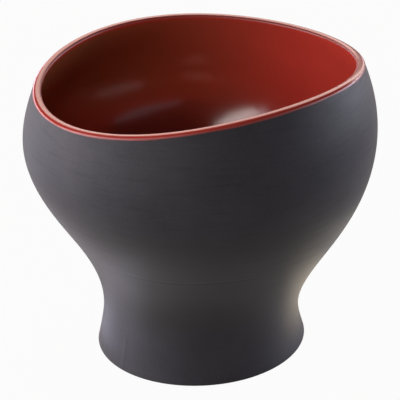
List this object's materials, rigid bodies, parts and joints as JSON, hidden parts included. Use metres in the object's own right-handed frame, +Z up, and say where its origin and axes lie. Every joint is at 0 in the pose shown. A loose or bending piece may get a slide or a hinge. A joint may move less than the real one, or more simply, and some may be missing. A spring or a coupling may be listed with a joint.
{
  "type": "porcelain bowl",
  "caption": "Leaning porcelain bowl with a bulging belly, an uneven lip, a hollow flared foot and a glossy glazed inside over a matte dark body.",
  "frame": {"origin": "on the table, at the bottom centre of the bowl's box, below the centre of the belly", "axes": "+Z up through the mouth, +X to the right of the picture, the side that the bowl leans to from its foot, +Y away from the camera"},
  "size_m": [0.1251, 0.125, 0.1107],
  "materials": {
    "stained_porcelain": "matte, unglazed, stained dark grey through the body and sponged smooth",
    "stained_slip": "matte",
    "red_glaze": "glossy"
  },
  "bodies": {
    "root": {"bowl_shell": "stained_porcelain", "pedestal_foot": "stained_porcelain", "luting_slip": "stained_slip", "red_glaze_lining": "red_glaze"}
  },
  "joints": []
}
